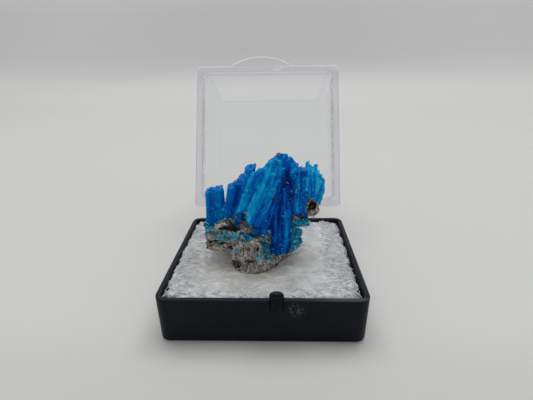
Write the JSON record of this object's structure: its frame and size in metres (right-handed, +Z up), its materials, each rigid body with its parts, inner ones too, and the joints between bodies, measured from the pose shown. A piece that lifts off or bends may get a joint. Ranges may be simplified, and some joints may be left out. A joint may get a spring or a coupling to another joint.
{
  "type": "boxed chalcanthite specimen",
  "caption": "Blue chalcanthite crystals on grey matrix, resting on white fibre padding in a small black tray with a clear hinged lid that stands open.",
  "frame": {"origin": "centre of the tray's flat underside", "axes": "+Z up, -Y towards the latch post at the front, +X to the right seen from the front"},
  "size_m": [0.058, 0.1173, 0.0729],
  "materials": {
    "black_plastic": "black moulded plastic, satin with light scuffs",
    "clear_plastic": "clear moulded plastic with a faint lavender tint",
    "fibre_padding": "white fluffy fibre wadding",
    "grey_matrix": "rough grey-brown rock with turquoise crust",
    "blue_crystal": "vitreous fibrous blue crystal",
    "brown_matrix": "rough brown rock"
  },
  "bodies": {
    "box": {"tray": "black_plastic", "padding": "fibre_padding", "matrix_rock": "grey_matrix", "chalcanthite": "blue_crystal", "matrix_fragment": "brown_matrix"},
    "lid": {"lid": "clear_plastic"}
  },
  "joints": [
    {"name": "lid_hinge", "type": "hinge", "parent": "box", "child": "lid", "pos_m": [0, 0.0321, 0.0136], "axis": [1, 0, 0], "range_deg": [0, 113.8]}
  ]
}
